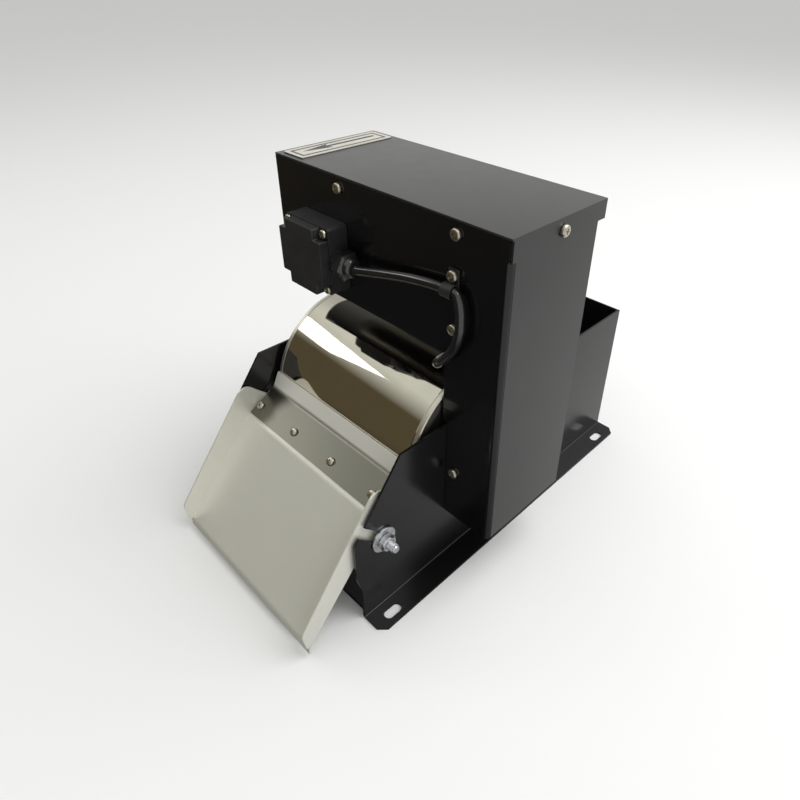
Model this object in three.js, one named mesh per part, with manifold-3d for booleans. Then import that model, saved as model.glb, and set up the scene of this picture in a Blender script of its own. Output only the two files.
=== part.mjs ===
// Drum-type magnetic coolant separator.
// Millimetres, +Z up. X runs along the drum axis, the chute is on the -Y side.
// While the sub-parts are drawn, x = 0 is the middle of the tank, y = 0 is the
// outside of the front plate and z = 0 is the underside of the feet.
import * as THREE from "three";
import { mergeVertices } from "three/addons/utils/BufferGeometryUtils.js";
import Module from "manifold-3d";

const wasm = await Module();
wasm.setup();

// ---------- driving dimensions ----------
const GAP = 0.3; // left between parts that touch

const TANK_SHEET = 2;
const TANK_OUT = 101; // half width over the side plates
const TANK_IN = TANK_OUT - TANK_SHEET;
const TANK_TOP = 160;
const TANK_FRONT = -98;
const TANK_BACK = 276;
const FOOT_OUT = 124;
const FOOT_SLOT = { width: 9, length: 17.5, x: 114, y: [-77, 250.5] };

const DRUM = { y: 43.7, z: 115, r: 81.5, end: 94.5, rim: 4.5, wall: 2 };
const SHAFT_R = 10;
const HUB_R = 17.5;
const BUSH_R = 16;
const RUNNING = 0.08; // radial clearance of the running fits

const COVER_SHEET = 1.5;
const COVER = { left: -111, right: 152, depth: 112, top: 340, beamBottom: 228.5, caseBottom: 60 };
const CASE_LEFT = TANK_OUT + GAP; // the chain case stands against the right side plate
const COVER_BACK = 102.8;

const PITCH = 9.525; // roller chain
const ROLLER_R = 3.17;
const DRUM_TEETH = 22;
const MOTOR_TEETH = 13;
const CHAIN_LINKS = 52;
const CHAIN_X = 128;
const MOTOR = { y: 58, frame: 80 };

const CHUTE_OUT = 97; // half width over the chute flanges
const CHUTE_SHEET = 1.5;
const PIVOT = { y: -74, z: 82.5, r: 4 };

// ---------- finishes ----------
const FINISH = {
  blackCoat: { color: 0x141416, roughness: 0.3, metalness: 0.2 },
  steel: { color: 0xb9b8b0, roughness: 0.35, metalness: 0.9 },
  polished: { color: 0xcfcac0, roughness: 0.08, metalness: 1.0 },
  zinc: { color: 0xc4c2b8, roughness: 0.35, metalness: 0.9 },
  cast: { color: 0x6c7074, roughness: 0.6, metalness: 0.5 },
  motorBlack: { color: 0x1d1d1f, roughness: 0.55, metalness: 0.2 },
  plastic: { color: 0x1a1a1b, roughness: 0.5, metalness: 0.0 },
  cable: { color: 0x101011, roughness: 0.4, metalness: 0.0 },
  magnet: { color: 0x4a4644, roughness: 0.7, metalness: 0.3 },
  plate: { color: 0xbdb9ad, roughness: 0.4, metalness: 0.8 },
  chain: { color: 0x5a554c, roughness: 0.45, metalness: 0.85 },
};

// ---------- shape helpers ----------
const polygon = (points) => new THREE.Shape(points.map(([a, b]) => new THREE.Vector2(a, b)));

const rectangle = (a0, b0, a1, b1) => polygon([[a0, b0], [a1, b0], [a1, b1], [a0, b1]]);

function roundedRectangle(a0, b0, a1, b1, r) {
  const shape = new THREE.Shape();
  shape.absarc(a1 - r, b0 + r, r, -Math.PI / 2, 0);
  shape.absarc(a1 - r, b1 - r, r, 0, Math.PI / 2);
  shape.absarc(a0 + r, b1 - r, r, Math.PI / 2, Math.PI);
  shape.absarc(a0 + r, b0 + r, r, Math.PI, 1.5 * Math.PI);
  return shape;
}

const circle = (a, b, r) => new THREE.Shape().absarc(a, b, r, 0, 2 * Math.PI);

function slot(a, b, width, length) {
  const r = width / 2;
  const reach = length / 2 - r;
  const shape = new THREE.Shape();
  shape.absarc(a, b + reach, r, 0, Math.PI);
  shape.absarc(a, b - reach, r, Math.PI, 2 * Math.PI);
  return shape;
}

const hexagon = (a, b, acrossFlats, turn = 0) => polygon([0, 1, 2, 3, 4, 5].map((i) => {
  const angle = turn + (i * Math.PI) / 3;
  const r = acrossFlats / Math.sqrt(3);
  return [a + r * Math.cos(angle), b + r * Math.sin(angle)];
}));

// A wall of even thickness that follows a line of points, offset to its right.
function strip(points, thickness) {
  const normals = points.slice(1).map(([a, b], i) => {
    const [da, db] = [a - points[i][0], b - points[i][1]];
    const length = Math.hypot(da, db);
    return [db / length, -da / length];
  });
  const offset = points.map(([a, b], i) => {
    const before = normals[Math.max(i - 1, 0)];
    const after = normals[Math.min(i, normals.length - 1)];
    const scale = thickness / (1 + before[0] * after[0] + before[1] * after[1]);
    return [a + (before[0] + after[0]) * scale, b + (before[1] + after[1]) * scale];
  });
  return polygon([...points, ...offset.reverse()]);
}

// The same line with its corners rounded, each curve starting `cut` before the corner.
// A closed line has every corner rounded, an open one keeps its two ends.
function roundCorners(points, cut, closed = false) {
  const corners = points.map(([a, b]) => new THREE.Vector2(a, b));
  const near = (from, to) => {
    const reach = Math.min(cut, from.distanceTo(to) / 2);
    return to.clone().sub(from).setLength(reach).add(from);
  };
  const path = new THREE.Path();
  const start = closed ? near(corners[0], corners.at(-1)) : corners[0];
  path.moveTo(start.x, start.y);
  corners.forEach((corner, i) => {
    const isEnd = !closed && (i === 0 || i === corners.length - 1);
    const before = corners.at(i - 1);
    const after = corners[(i + 1) % corners.length];
    const entry = isEnd ? corner : near(corner, before);
    path.lineTo(entry.x, entry.y);
    if (isEnd) return;
    const exit = near(corner, after);
    path.quadraticCurveTo(corner.x, corner.y, exit.x, exit.y);
  });
  return path.getPoints(4).map((p) => [p.x, p.y]);
}

// points on an arc about (a, b), angles in degrees
function arcPoints(a, b, r, from, to, count) {
  return Array.from({ length: count + 1 }, (_, i) => {
    const angle = THREE.MathUtils.degToRad(from + ((to - from) * i) / count);
    return [a + r * Math.cos(angle), b + r * Math.sin(angle)];
  });
}

// ---------- solid helpers ----------
const ALONG_X = new THREE.Matrix4().makeBasis(
  new THREE.Vector3(0, 1, 0), new THREE.Vector3(0, 0, 1), new THREE.Vector3(1, 0, 0));
const ALONG_Y = new THREE.Matrix4().makeBasis(
  new THREE.Vector3(1, 0, 0), new THREE.Vector3(0, 0, 1), new THREE.Vector3(0, -1, 0));

// `segments` is the number of straight pieces in each arc of the shape
function extrude(shape, depth, segments) {
  return new THREE.ExtrudeGeometry(shape, {
    depth, bevelEnabled: false, curveSegments: segments / 2,
  });
}

// shape in (y, z), from x0 to x1
function alongX(shape, x0, x1, segments = 12) {
  return extrude(shape, x1 - x0, segments).applyMatrix4(ALONG_X).translate(x0, 0, 0);
}

// shape in (x, z), from y0 to y1
function alongY(shape, y0, y1, segments = 12) {
  return extrude(shape, y1 - y0, segments).applyMatrix4(ALONG_Y).translate(0, y1, 0);
}

// shape in (x, y), from z0 to z1
function alongZ(shape, z0, z1, segments = 12) {
  return extrude(shape, z1 - z0, segments).translate(0, 0, z0);
}

const rodX = (y, z, r, x0, x1, segments = 24) => alongX(circle(y, z, r), x0, x1, segments);
const block = (x0, y0, z0, x1, y1, z1) => alongZ(rectangle(x0, y0, x1, y1), z0, z1);

function toManifold(geometry) {
  const clean = geometry.clone();
  clean.deleteAttribute("normal");
  clean.deleteAttribute("uv");
  const merged = mergeVertices(clean, 1e-4);
  return new wasm.Manifold(new wasm.Mesh({
    numProp: 3,
    vertProperties: Float32Array.from(merged.attributes.position.array),
    triVerts: Uint32Array.from(merged.index.array),
  }));
}

function toGeometry(manifold) {
  const mesh = manifold.getMesh();
  const geometry = new THREE.BufferGeometry();
  geometry.setAttribute("position", new THREE.BufferAttribute(mesh.vertProperties, 3));
  geometry.setIndex(new THREE.BufferAttribute(mesh.triVerts, 1));
  const flat = geometry.toNonIndexed();
  flat.computeVertexNormals();
  return flat;
}

// every solid of `add` joined, then every solid of `cut` taken away
function combine(add, cut = []) {
  let result = toManifold(add[0]);
  for (const geometry of add.slice(1)) result = result.add(toManifold(geometry));
  for (const geometry of cut) result = result.subtract(toManifold(geometry));
  return toGeometry(result);
}

// the same solid on the other side of x = 0, its faces turned outwards again
const mirrorX = (geometry) => toGeometry(toManifold(geometry).mirror([1, 0, 0]));

// Pan head screw along +Z: the underside of the head is at z = 0 and the shank goes down.
function panScrew(headR, headHeight, shankR, shankLength) {
  const profile = [
    new THREE.Vector2(0, -shankLength),
    new THREE.Vector2(shankR, -shankLength),
    new THREE.Vector2(shankR, 0),
    new THREE.Vector2(headR, 0),
    new THREE.Vector2(headR, headHeight * 0.45),
    new THREE.Vector2(headR * 0.7, headHeight),
    new THREE.Vector2(0, headHeight),
  ];
  return new THREE.LatheGeometry(profile, 12).rotateX(Math.PI / 2);
}

const TO_FRONT = new THREE.Euler(Math.PI / 2, 0, 0); // head towards -Y
const TO_BACK = new THREE.Euler(-Math.PI / 2, 0, 0);
const TO_RIGHT = new THREE.Euler(0, Math.PI / 2, 0);

function placed(geometry, euler, x, y, z) {
  const matrix = new THREE.Matrix4().makeRotationFromEuler(euler).setPosition(x, y, z);
  return geometry.clone().applyMatrix4(matrix);
}

// ---------- tank ----------
const FOOT_BEND = 3; // outside radius where the side plate turns out into the foot
const SIDE_OUTLINE = [
  [TANK_FRONT, FOOT_BEND], [TANK_BACK, FOOT_BEND], [TANK_BACK, TANK_TOP], [-52, TANK_TOP],
  [-91, 110], [TANK_FRONT, 100.5],
];
const NOSE = [[-90, 101], [-98, 101], [-103, 95], [-103, 56], [TANK_FRONT, 37], [-90, 37]];

// open slot in the front edge that the chute's pivot stud drops into
function pivotSlot() {
  const width = 9.5;
  const reach = 40;
  const channel = alongX(rectangle(0, -width / 2, reach, width / 2), TANK_IN - 1, TANK_OUT + 1);
  channel.rotateX(THREE.MathUtils.degToRad(133)).translate(0, PIVOT.y, PIVOT.z);
  return combine([channel, rodX(PIVOT.y, PIVOT.z, width / 2, TANK_IN - 1, TANK_OUT + 1, 8)]);
}

// outer corner of the foot, cut off; inward is +1 at the front end and -1 at the back
function footCorner(end, inward) {
  const cut = 8;
  const outside = end - inward;
  const triangle = [
    [FOOT_OUT - cut, outside], [FOOT_OUT + 1, outside], [FOOT_OUT + 1, end + inward * cut],
  ];
  return alongZ(polygon(triangle), -1, TANK_SHEET + 1);
}

function sidePlate(shaftHoleR) {
  const foot = new THREE.Shape();
  foot.moveTo(TANK_IN, 20);
  foot.lineTo(TANK_IN, FOOT_BEND);
  foot.absarc(TANK_IN + FOOT_BEND, FOOT_BEND, FOOT_BEND, Math.PI, 1.5 * Math.PI);
  foot.lineTo(FOOT_OUT, 0);
  foot.lineTo(FOOT_OUT, TANK_SHEET);
  foot.lineTo(TANK_OUT + 1, TANK_SHEET);
  foot.absarc(TANK_OUT + 1, FOOT_BEND, 1, 1.5 * Math.PI, Math.PI, true);
  foot.lineTo(TANK_OUT, 20);
  const solids = [
    alongX(polygon(SIDE_OUTLINE), TANK_IN, TANK_OUT),
    alongX(polygon(roundCorners(NOSE, 2, true)), TANK_IN, TANK_OUT),
    alongY(foot, TANK_FRONT, TANK_BACK, 4),
  ];
  const slots = FOOT_SLOT.y.map((y) => (
    alongZ(slot(FOOT_SLOT.x, y, FOOT_SLOT.width, FOOT_SLOT.length), -1, TANK_SHEET + 1, 8)));
  const holes = [
    ...slots,
    footCorner(TANK_FRONT, 1),
    footCorner(TANK_BACK, -1),
    rodX(DRUM.y, DRUM.z, shaftHoleR, TANK_IN - 1, TANK_OUT + 1, 20),
    pivotSlot(),
  ];
  return combine(solids, holes);
}

const TANK_FLOOR = 2.5;
const WALL_X = TANK_IN - GAP;
const WEIR_Y = 150;
const TROUGH_R = DRUM.r + 12;

const frontWall = () => block(-WALL_X, -97, 12, WALL_X, -95.5, 64);

const rearWall = () => block(-WALL_X, TANK_BACK - TANK_SHEET, TANK_FLOOR, WALL_X, TANK_BACK, TANK_TOP);

function bottomPlate() {
  const plate = rectangle(-WALL_X, -95, WALL_X, TANK_BACK - TANK_SHEET - GAP);
  plate.holes.push(rectangle(-75, -82, 75, -27));
  return alongZ(plate, TANK_FLOOR, TANK_FLOOR + TANK_SHEET);
}

// sheet that runs from over the weir down and round under the drum
const TROUGH_ARC = arcPoints(DRUM.y, DRUM.z, TROUGH_R, -125, 4, 28);
const SHELF_Z = TROUGH_ARC[TROUGH_ARC.length - 1][1];

const drumTrough = () => alongX(
  strip([...TROUGH_ARC, [WEIR_Y + 3, SHELF_Z]], COVER_SHEET), -WALL_X, WALL_X);

const inletWeir = () => block(
  -WALL_X, WEIR_Y, TANK_FLOOR + TANK_SHEET + GAP,
  WALL_X, WEIR_Y + COVER_SHEET, SHELF_Z - COVER_SHEET - GAP);

// ---------- drum and magnets ----------
const INNER_R = DRUM.r - DRUM.wall;
const DISC_INNER = DRUM.end - DRUM.rim;

function drumShell() {
  const tube = circle(DRUM.y, DRUM.z, DRUM.r);
  tube.holes.push(circle(DRUM.y, DRUM.z, INNER_R));
  return alongX(tube, -DISC_INNER + GAP, DISC_INNER - GAP, 48);
}

// end disc on the +X side: visible rim, spigot inside the shell, bored for the hub
function drumEnd(boreR) {
  const rim = rodX(DRUM.y, DRUM.z, DRUM.r, DISC_INNER, DRUM.end, 48);
  const spigot = rodX(DRUM.y, DRUM.z, INNER_R - GAP, DISC_INNER - 7, DISC_INNER + 1, 48);
  const recess = rodX(DRUM.y, DRUM.z, INNER_R - 6, DRUM.end - 1.5, DRUM.end + 1, 48);
  const hollow = rodX(DRUM.y, DRUM.z, INNER_R - 6, DISC_INNER - 8, DISC_INNER, 48);
  const boss = rodX(DRUM.y, DRUM.z, 27, DISC_INNER - 7, DRUM.end - 1.5, 32);
  const bore = rodX(DRUM.y, DRUM.z, boreR, DISC_INNER - 8, DRUM.end + 1, 32);
  return combine([combine([rim, spigot], [recess, hollow]), boss], [bore]);
}

function ring(outerR, innerR, x0, x1, y, z, segments = 48) {
  const shape = circle(y, z, outerR);
  shape.holes.push(circle(y, z, innerR));
  return alongX(shape, x0, x1, segments);
}

const SHAFT_LEFT = -120;
const SHAFT_RIGHT = 139;
const HUB_END = 136;

const fixedShaft = () => rodX(DRUM.y, DRUM.z, SHAFT_R, SHAFT_LEFT, SHAFT_RIGHT, 48);

const drumBush = () => ring(
  BUSH_R, SHAFT_R + RUNNING, -DRUM.end + 1.5 + GAP, -DISC_INNER + 7, DRUM.y, DRUM.z);

const drumHub = () => ring(
  HUB_R, SHAFT_R + RUNNING, DISC_INNER - 7, HUB_END, DRUM.y, DRUM.z, 64);

// the magnets reach from the foot of the trough, behind and over the drum, to the blade
const MAGNETS = { from: -125, to: 155, inner: 56.5, outer: 74.5, half: 72 };

function magnetSector() {
  const outside = arcPoints(DRUM.y, DRUM.z, MAGNETS.outer, MAGNETS.from, MAGNETS.to, 28);
  const inside = arcPoints(DRUM.y, DRUM.z, MAGNETS.inner, MAGNETS.to, MAGNETS.from, 28);
  return alongX(polygon([...outside, ...inside]), -MAGNETS.half, MAGNETS.half);
}

function magnetYoke() {
  const rimR = MAGNETS.inner - 2 * GAP;
  return combine([
    ring(rimR, rimR - 8, -MAGNETS.half, MAGNETS.half, DRUM.y, DRUM.z, 32),
    rodX(DRUM.y, DRUM.z, rimR - 4, -10, 10, 32),
    rodX(DRUM.y, DRUM.z, 17, -MAGNETS.half, MAGNETS.half),
  ], [rodX(DRUM.y, DRUM.z, SHAFT_R + GAP, -MAGNETS.half - 1, MAGNETS.half + 1)]);
}

// flanged clamp that holds the fixed shaft on the left side plate
function shaftClamp() {
  const x = -TANK_OUT - GAP;
  return combine([
    rodX(DRUM.y, DRUM.z, 28, x - 5, x, 32),
    rodX(DRUM.y, DRUM.z, 17, x - 16, x - 4, 32),
  ], [rodX(DRUM.y, DRUM.z, SHAFT_R + RUNNING, x - 17, x + 1, 48)]);
}

// flanged housing that the drum hub turns in, on the right side plate
function bearingHousing() {
  const x = TANK_OUT + GAP;
  return combine([
    rodX(DRUM.y, DRUM.z, 31, x, x + 4, 32),
    rodX(DRUM.y, DRUM.z, 25, TANK_IN - 2, x + 12, 32),
  ], [rodX(DRUM.y, DRUM.z, HUB_R + RUNNING, TANK_IN - 3, x + 13, 64)]);
}

// ---------- drive ----------
const pitchR = (teeth) => PITCH / 2 / Math.sin(Math.PI / teeth);
const DRUM_PITCH_R = pitchR(DRUM_TEETH);
const MOTOR_PITCH_R = pitchR(MOTOR_TEETH);

// chain that lies on a sprocket over an angle
const wrapLength = (teeth, angle) => (teeth * PITCH * angle) / (2 * Math.PI);

const chainLean = (centres) => Math.asin((DRUM_PITCH_R - MOTOR_PITCH_R) / centres);

const chainLength = (centres) => 2 * centres * Math.cos(chainLean(centres))
  + wrapLength(DRUM_TEETH, Math.PI + 2 * chainLean(centres))
  + wrapLength(MOTOR_TEETH, Math.PI - 2 * chainLean(centres));

// centre distance that takes exactly CHAIN_LINKS links, found by halving
function chainCentres() {
  let [low, high] = [100, 300];
  while (high - low > 1e-6) {
    const middle = (low + high) / 2;
    if (chainLength(middle) < CHAIN_LINKS * PITCH) low = middle;
    else high = middle;
  }
  return low;
}

const CENTRES = chainCentres();
const LEAN = chainLean(CENTRES);
const MOTOR_Z = DRUM.z + Math.sqrt(CENTRES ** 2 - (MOTOR.y - DRUM.y) ** 2);
const TILT = Math.atan2(MOTOR_Z - DRUM.z, MOTOR.y - DRUM.y);
const FRONT_CONTACT = TILT + Math.PI / 2 - LEAN; // where the front run meets both sprockets
const BACK_CONTACT = TILT - Math.PI / 2 + LEAN;
const STRAIGHT = CENTRES * Math.cos(LEAN);
const OVER_MOTOR = wrapLength(MOTOR_TEETH, Math.PI - 2 * LEAN);

const onSprocket = (centreZ, centreY, r, angle) => (
  { y: centreY + r * Math.cos(angle), z: centreZ + r * Math.sin(angle), angle });

// pin of the chain s mm along it, from where it leaves the drum sprocket at the front
function chainPoint(s) {
  if (s < STRAIGHT) {
    const start = onSprocket(DRUM.z, DRUM.y, DRUM_PITCH_R, FRONT_CONTACT);
    const [dy, dz] = [Math.sin(FRONT_CONTACT), -Math.cos(FRONT_CONTACT)];
    return { y: start.y + s * dy, z: start.z + s * dz, angle: FRONT_CONTACT };
  }
  if (s < STRAIGHT + OVER_MOTOR) {
    const turned = ((s - STRAIGHT) * 2 * Math.PI) / (MOTOR_TEETH * PITCH);
    return onSprocket(MOTOR_Z, MOTOR.y, MOTOR_PITCH_R, FRONT_CONTACT - turned);
  }
  if (s < 2 * STRAIGHT + OVER_MOTOR) {
    const run = s - STRAIGHT - OVER_MOTOR;
    const start = onSprocket(MOTOR_Z, MOTOR.y, MOTOR_PITCH_R, BACK_CONTACT);
    const [dy, dz] = [Math.sin(BACK_CONTACT), -Math.cos(BACK_CONTACT)];
    return { y: start.y + run * dy, z: start.z + run * dz, angle: BACK_CONTACT };
  }
  const turned = ((s - 2 * STRAIGHT - OVER_MOTOR) * 2 * Math.PI) / (DRUM_TEETH * PITCH);
  return onSprocket(DRUM.z, DRUM.y, DRUM_PITCH_R, BACK_CONTACT - turned);
}

// belt-shaped loop round both sprockets, a distance outside the pitch line
function chainLoop(outwards) {
  const loop = new THREE.Shape();
  const end = BACK_CONTACT + 2 * Math.PI;
  loop.absarc(MOTOR.y, MOTOR_Z, MOTOR_PITCH_R + outwards, BACK_CONTACT, FRONT_CONTACT);
  loop.absarc(DRUM.y, DRUM.z, DRUM_PITCH_R + outwards, FRONT_CONTACT, end);
  return loop;
}

function driveChain() {
  const band = chainLoop(3.6);
  band.holes.push(chainLoop(-3.6));
  const plates = [[-4.4, -2.6], [2.6, 4.4]].map(([a, b]) => (
    alongX(band, CHAIN_X + a, CHAIN_X + b, 16)));
  const rollers = Array.from({ length: CHAIN_LINKS }, (_, i) => {
    const { y, z } = chainPoint(i * PITCH);
    return rodX(y, z, ROLLER_R, CHAIN_X - 3.5, CHAIN_X + 3.5, 6);
  });
  return combine([...plates, ...rollers]);
}

// toothed disc with one roller pocket under every chain roller
function sprocketDisc(teeth, r, y, z, firstPocket) {
  const pocketR = ROLLER_R + 0.25;
  const tipR = r + 2.6;
  const points = [];
  for (let i = 0; i < teeth; i += 1) {
    const middle = firstPocket + (i * 2 * Math.PI) / teeth;
    for (const bend of [68, 34, 0, -34, -68]) {
      const turn = middle + Math.PI + THREE.MathUtils.degToRad(bend);
      points.push([
        y + r * Math.cos(middle) + pocketR * Math.cos(turn),
        z + r * Math.sin(middle) + pocketR * Math.sin(turn),
      ]);
    }
    for (const side of [-0.09, 0.09]) {
      const tip = middle + Math.PI / teeth + side * (Math.PI * 2) / teeth;
      points.push([y + tipR * Math.cos(tip), z + tipR * Math.sin(tip)]);
    }
  }
  return alongX(polygon(points), CHAIN_X - 2, CHAIN_X + 2);
}

// angle of the first roller that sits on each sprocket
const MOTOR_POCKET = chainPoint(Math.ceil(STRAIGHT / PITCH) * PITCH).angle;
const DRUM_POCKET = chainPoint(0).angle;

function drumSprocket() {
  const bore = rodX(DRUM.y, DRUM.z, HUB_R + GAP, CHAIN_X - 12, CHAIN_X + 12, 40);
  return combine([
    sprocketDisc(DRUM_TEETH, DRUM_PITCH_R, DRUM.y, DRUM.z, DRUM_POCKET),
    rodX(DRUM.y, DRUM.z, 24, CHAIN_X - 2, CHAIN_X + 7, 32),
  ], [bore]);
}

const OUTPUT_R = 6;

function motorSprocket() {
  const bore = rodX(MOTOR.y, MOTOR_Z, OUTPUT_R + RUNNING, CHAIN_X - 12, CHAIN_X + 12, 24);
  return combine([
    sprocketDisc(MOTOR_TEETH, MOTOR_PITCH_R, MOTOR.y, MOTOR_Z, MOTOR_POCKET),
    rodX(MOTOR.y, MOTOR_Z, 13, CHAIN_X - 10, CHAIN_X + 1, 24),
  ], [bore]);
}

const outputShaft = () => rodX(MOTOR.y, MOTOR_Z, OUTPUT_R, 92, CHAIN_X + 5, 24);

const BRACKET = { x0: CASE_LEFT, x1: CASE_LEFT + 3, y0: 4, y1: 99, z0: 72, z1: 334 };

function driveBracket() {
  const outline = rectangle(BRACKET.y0, BRACKET.z0, BRACKET.y1, BRACKET.z1);
  outline.holes.push(circle(DRUM.y, DRUM.z, 34));
  outline.holes.push(circle(MOTOR.y, MOTOR_Z, 18));
  const edge = block(
    BRACKET.x0, BRACKET.y0, BRACKET.z0 + 20, BRACKET.x0 + 16, BRACKET.y0 + 3, BRACKET.z1 - 2);
  const top = block(
    BRACKET.x0, BRACKET.y0 + 20, BRACKET.z1 - 3, 149, BRACKET.y1 - 8, BRACKET.z1);
  const corner = block(149 - 3, BRACKET.y0 + 20, BRACKET.z1 - 16, 149, BRACKET.y1 - 8, BRACKET.z1);
  return combine([alongX(outline, BRACKET.x0, BRACKET.x1, 24), edge, top, corner]);
}

const GEARBOX = { x0: 53, x1: CASE_LEFT - GAP };
const STATOR = { x0: -34, x1: GEARBOX.x0 - GAP };
const END_CAP = { x0: -62, x1: STATOR.x0 - GAP };

const motorSquare = (half, r) => roundedRectangle(
  MOTOR.y - half, MOTOR_Z - half, MOTOR.y + half, MOTOR_Z + half, r);

function gearbox() {
  const half = MOTOR.frame / 2;
  const boss = rodX(MOTOR.y, MOTOR_Z, 16.5, GEARBOX.x1 - 1, GEARBOX.x1 + 3, 24);
  const bore = rodX(MOTOR.y, MOTOR_Z, OUTPUT_R + RUNNING, 90, GEARBOX.x1 + 4, 24);
  return combine([alongX(motorSquare(half, 6), GEARBOX.x0, GEARBOX.x1, 4), boss], [bore]);
}

function motorStator() {
  const half = MOTOR.frame / 2;
  const ends = [
    alongX(motorSquare(half - 0.5, 6), STATOR.x0, STATOR.x0 + 10, 4),
    alongX(motorSquare(half - 0.5, 6), STATOR.x1 - 10, STATOR.x1, 4),
  ];
  const body = rodX(MOTOR.y, MOTOR_Z, half - 1, STATOR.x0 + 9, STATOR.x1 - 9, 32);
  return combine([body, ...ends]);
}

function motorEndCap() {
  const profile = [
    new THREE.Vector2(0, 0), new THREE.Vector2(39, 0), new THREE.Vector2(39, 20),
    new THREE.Vector2(35, 26), new THREE.Vector2(12, 28), new THREE.Vector2(0, 28),
  ];
  const cap = new THREE.LatheGeometry(profile, 32).rotateZ(Math.PI / 2);
  return cap.translate(END_CAP.x1, MOTOR.y, MOTOR_Z);
}

// ---------- cover ----------
const LID_IN = COVER.top - COVER_SHEET;
const RIGHT_IN = COVER.right - COVER_SHEET;

const CORNER_R = 5; // outside radius where the front plate turns round to the right wall
const LIP_Z = COVER.top - 18; // lower edge of the lid's front lip, and of the slit in the corner

// lid, right wall, left end wall, back lip, front lip and the case floor, bent from one sheet
function hood() {
  const t = COVER_SHEET;
  const afterCorner = CORNER_R + GAP;
  const lid = block(COVER.left, 0, LID_IN, COVER.right, COVER.depth, COVER.top);
  const rightWall = block(
    RIGHT_IN, afterCorner, COVER.caseBottom, COVER.right, COVER_BACK, COVER.top);
  const wallTop = block(
    RIGHT_IN, t + GAP, LIP_Z + GAP, COVER.right, afterCorner + 1, COVER.top);
  const leftWall = block(
    COVER.left, t + GAP, COVER.beamBottom, COVER.left + t, COVER_BACK, COVER.top);
  const backLip = block(
    COVER.left, COVER.depth - t, COVER.top - 15.5, COVER.right, COVER.depth, COVER.top);
  const lipSide = block(
    RIGHT_IN, COVER_BACK - 1, COVER.top - 15.5, COVER.right, COVER.depth, COVER.top);
  const frontLip = block(
    COVER.left, t + GAP, LIP_Z + GAP, COVER.right - t, 2 * t + GAP, COVER.top);
  const caseFloor = block(
    CASE_LEFT + GAP, afterCorner, COVER.caseBottom, COVER.right, COVER_BACK, COVER.caseBottom + t);
  const floorFront = block(
    CASE_LEFT + GAP, t + GAP, COVER.caseBottom, COVER.right - CORNER_R - GAP, afterCorner + 1,
    COVER.caseBottom + t);
  return combine([
    lid, rightWall, wallTop, leftWall, backLip, lipSide, frontLip, caseFloor, floorFront,
  ]);
}

const FRONT_EDGE_LEFT = 96.3; // the front plate reaches past the side plate above the tank

function frontPlate() {
  const cornerX = COVER.right - CORNER_R;
  const outline = polygon([
    [COVER.left, COVER.beamBottom], [FRONT_EDGE_LEFT, COVER.beamBottom],
    [FRONT_EDGE_LEFT, TANK_TOP + 1.5], [CASE_LEFT, TANK_TOP + 1.5],
    [CASE_LEFT, COVER.caseBottom], [cornerX, COVER.caseBottom], [cornerX, LIP_Z],
    [RIGHT_IN - GAP, LIP_Z], [RIGHT_IN - GAP, LID_IN - GAP], [COVER.left, LID_IN - GAP],
  ]);
  outline.holes.push(circle(TERMINAL.x, TERMINAL.z, 11));
  const outside = arcPoints(cornerX, CORNER_R, CORNER_R, -90, 0, 6);
  const inside = arcPoints(cornerX, CORNER_R, CORNER_R - COVER_SHEET, 0, -90, 6);
  const corner = alongZ(polygon([...outside, ...inside]), COVER.caseBottom, LIP_Z);
  return combine([alongY(outline, 0, COVER_SHEET), corner]);
}

// the back plate is bent forwards at the bottom as the floor of the motor bay
function backPlate() {
  const back = COVER_BACK - GAP;
  const left = COVER.left + COVER_SHEET + GAP;
  const right = RIGHT_IN - GAP;
  const bottom = COVER.caseBottom + COVER_SHEET + GAP;
  const outline = polygon([
    [left, COVER.beamBottom], [CASE_LEFT, COVER.beamBottom], [CASE_LEFT, bottom],
    [right, bottom], [right, LID_IN - GAP], [left, LID_IN - GAP],
  ]);
  const floor = block(
    left, 2 * COVER_SHEET + GAP, COVER.beamBottom, CASE_LEFT - GAP, back,
    COVER.beamBottom + COVER_SHEET);
  return combine([alongY(outline, back - COVER_SHEET, back), floor]);
}

const NAMEPLATE = { x0: -106, x1: -78, y0: 5, y1: 107 };

const nameplate = () => alongZ(
  roundedRectangle(NAMEPLATE.x0, NAMEPLATE.y0, NAMEPLATE.x1, NAMEPLATE.y1, 1.5),
  COVER.top + GAP, COVER.top + 1, 4);

// ---------- terminal box, gland and cable ----------
const TERMINAL = { x: -45, z: 271.8, width: 56, height: 58.5, depth: 28.5, lid: 9 };

// square with the four corners stepped in for the screws
function notchedSquare(halfWidth, halfHeight, notch) {
  const points = [];
  for (const [sx, sz] of [[1, -1], [1, 1], [-1, 1], [-1, -1]]) {
    const outer = [TERMINAL.x + sx * halfWidth, TERMINAL.z + sz * halfHeight];
    const sideways = [outer[0] - sx * notch, outer[1]];
    const upright = [outer[0], outer[1] - sz * notch];
    const inner = [outer[0] - sx * notch, outer[1] - sz * notch];
    points.push(...(sx * sz < 0 ? [sideways, inner, upright] : [upright, inner, sideways]));
  }
  return polygon(points);
}

function terminalBox() {
  const back = -GAP;
  const front = -(TERMINAL.depth - TERMINAL.lid);
  const shell = alongY(roundedRectangle(
    TERMINAL.x - TERMINAL.width / 2 - 0.5, TERMINAL.z - TERMINAL.height / 2 - 0.5,
    TERMINAL.x + TERMINAL.width / 2 + 0.5, TERMINAL.z + TERMINAL.height / 2 + 0.5, 3), front, back, 4);
  const room = alongY(roundedRectangle(
    TERMINAL.x - TERMINAL.width / 2 + 3, TERMINAL.z - TERMINAL.height / 2 + 9,
    TERMINAL.x + TERMINAL.width / 2 - 3, TERMINAL.z + TERMINAL.height / 2 - 9, 2), front - 1, -3, 4);
  const neck = alongY(circle(TERMINAL.x, TERMINAL.z, 8), -4, 1);
  return combine([shell], [room, neck]);
}

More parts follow.
